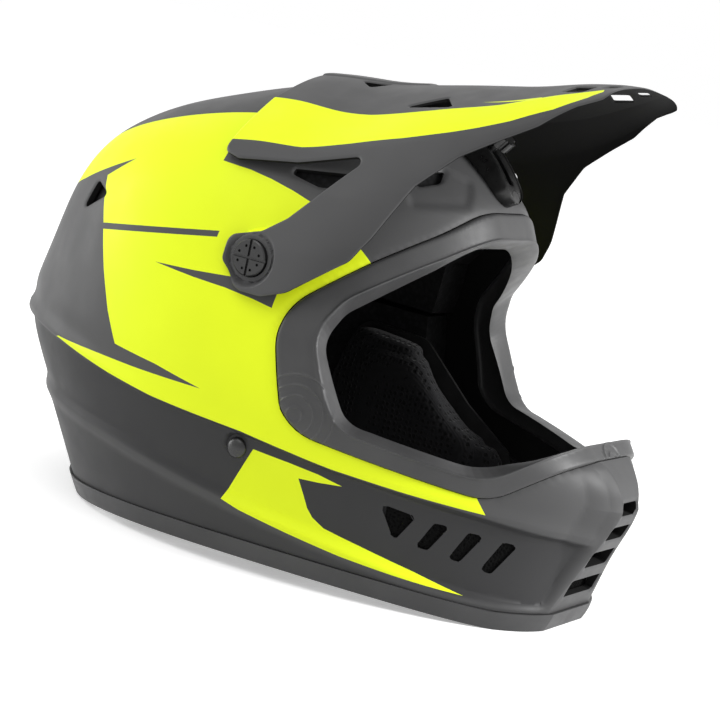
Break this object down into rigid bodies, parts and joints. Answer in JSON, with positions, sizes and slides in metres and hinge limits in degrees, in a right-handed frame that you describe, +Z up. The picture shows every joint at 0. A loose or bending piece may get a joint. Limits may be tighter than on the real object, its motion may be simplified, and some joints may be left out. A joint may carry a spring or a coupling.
{
  "type": "full face cycling helmet",
  "caption": "Full face downhill cycling helmet with a tilting slotted visor, rubber-edged eye port, vented chin bar, cheek pads and a ring-fastened chin strap",
  "frame": {"origin": "bottom centre of the helmet, on the surface that it stands on", "axes": "+Z up, -Y forwards through the chin bar, +X to the wearer's left"},
  "size_m": [0.2402, 0.3424, 0.2719],
  "materials": {
    "painted_shell": "matte painted composite in neon yellow and grey",
    "painted_visor": "matte painted plastic in grey with neon yellow areas",
    "black_plastic": "matte moulded",
    "edge_rubber": "matte",
    "liner_foam": "black moulded foam",
    "filter_foam": "open-cell foam",
    "pad_fabric": "brushed and meshed knit",
    "webbing": "woven",
    "black_screw": "black anodised",
    "steel": "satin"
  },
  "bodies": {
    "root": {"outer_shell": "painted_shell", "eye_port_trim": "edge_rubber", "base_trim": "edge_rubber", "crown_foam": "liner_foam", "chin_foam_left": "liner_foam", "chin_foam_right": "liner_foam", "cheek_foam_left": "liner_foam", "cheek_foam_right": "liner_foam", "side_vent_filter_left": "filter_foam", "side_vent_filter_right": "filter_foam", "chin_vent_filter": "filter_foam", "cheek_pad_left": "pad_fabric", "cheek_pad_right": "pad_fabric", "crown_pad": "pad_fabric", "brow_pad": "pad_fabric", "nape_pad": "pad_fabric", "neck_roll": "pad_fabric", "cheek_plate_left": "black_plastic", "cheek_plate_right": "black_plastic", "cheek_snaps": "black_plastic", "visor_slot_bracket": "black_plastic", "strap_snap": "black_plastic", "visor_washer_left": "black_plastic", "visor_washer_right": "black_plastic", "bracket_screws": "black_screw", "visor_insert_left": "steel", "visor_insert_right": "steel", "strap_rivets": "steel", "strap_anchor_left": "steel", "strap_anchor_right": "steel", "chin_strap_left": "webbing", "chin_strap_right": "webbing"},
    "visor_body": {"visor": "painted_visor", "visor_slide_nut": "steel"},
    "thumbscrew_body": {"visor_thumbscrew": "black_plastic"},
    "screw_left_body": {"visor_screw_left": "black_screw"},
    "screw_right_body": {"visor_screw_right": "black_screw"},
    "ring_inner_body": {"ring_inner": "steel"},
    "ring_outer_body": {"ring_outer": "steel"}
  },
  "joints": [
    {"name": "visor_tilt", "type": "hinge", "parent": "root", "child": "visor_body", "pos_m": [0, -0.00516, 0.15208], "axis": [1, 0, 0], "range_deg": [0, 12]},
    {"name": "visor_thumbscrew_turn", "type": "hinge", "parent": "visor_body", "child": "thumbscrew_body", "pos_m": [0, -0.06432, 0.22384], "axis": [0, -0.6361, 0.7716], "continuous": true},
    {"name": "visor_screw_left_turn", "type": "hinge", "parent": "root", "child": "screw_left_body", "pos_m": [0.115, -0.00516, 0.15208], "axis": [1, 0, 0], "continuous": true},
    {"name": "visor_screw_right_turn", "type": "hinge", "parent": "root", "child": "screw_right_body", "pos_m": [-0.115, -0.00516, 0.15208], "axis": [-1, 0, 0], "continuous": true},
    {"name": "ring_inner_swing", "type": "hinge", "parent": "root", "child": "ring_inner_body", "pos_m": [0.05815, -0.0172, 0.027], "axis": [0, 1, 0], "range_deg": [0, 60]},
    {"name": "ring_outer_swing", "type": "hinge", "parent": "root", "child": "ring_outer_body", "pos_m": [0.06145, -0.0172, 0.027], "axis": [0, 1, 0], "range_deg": [-25, 0]}
  ]
}
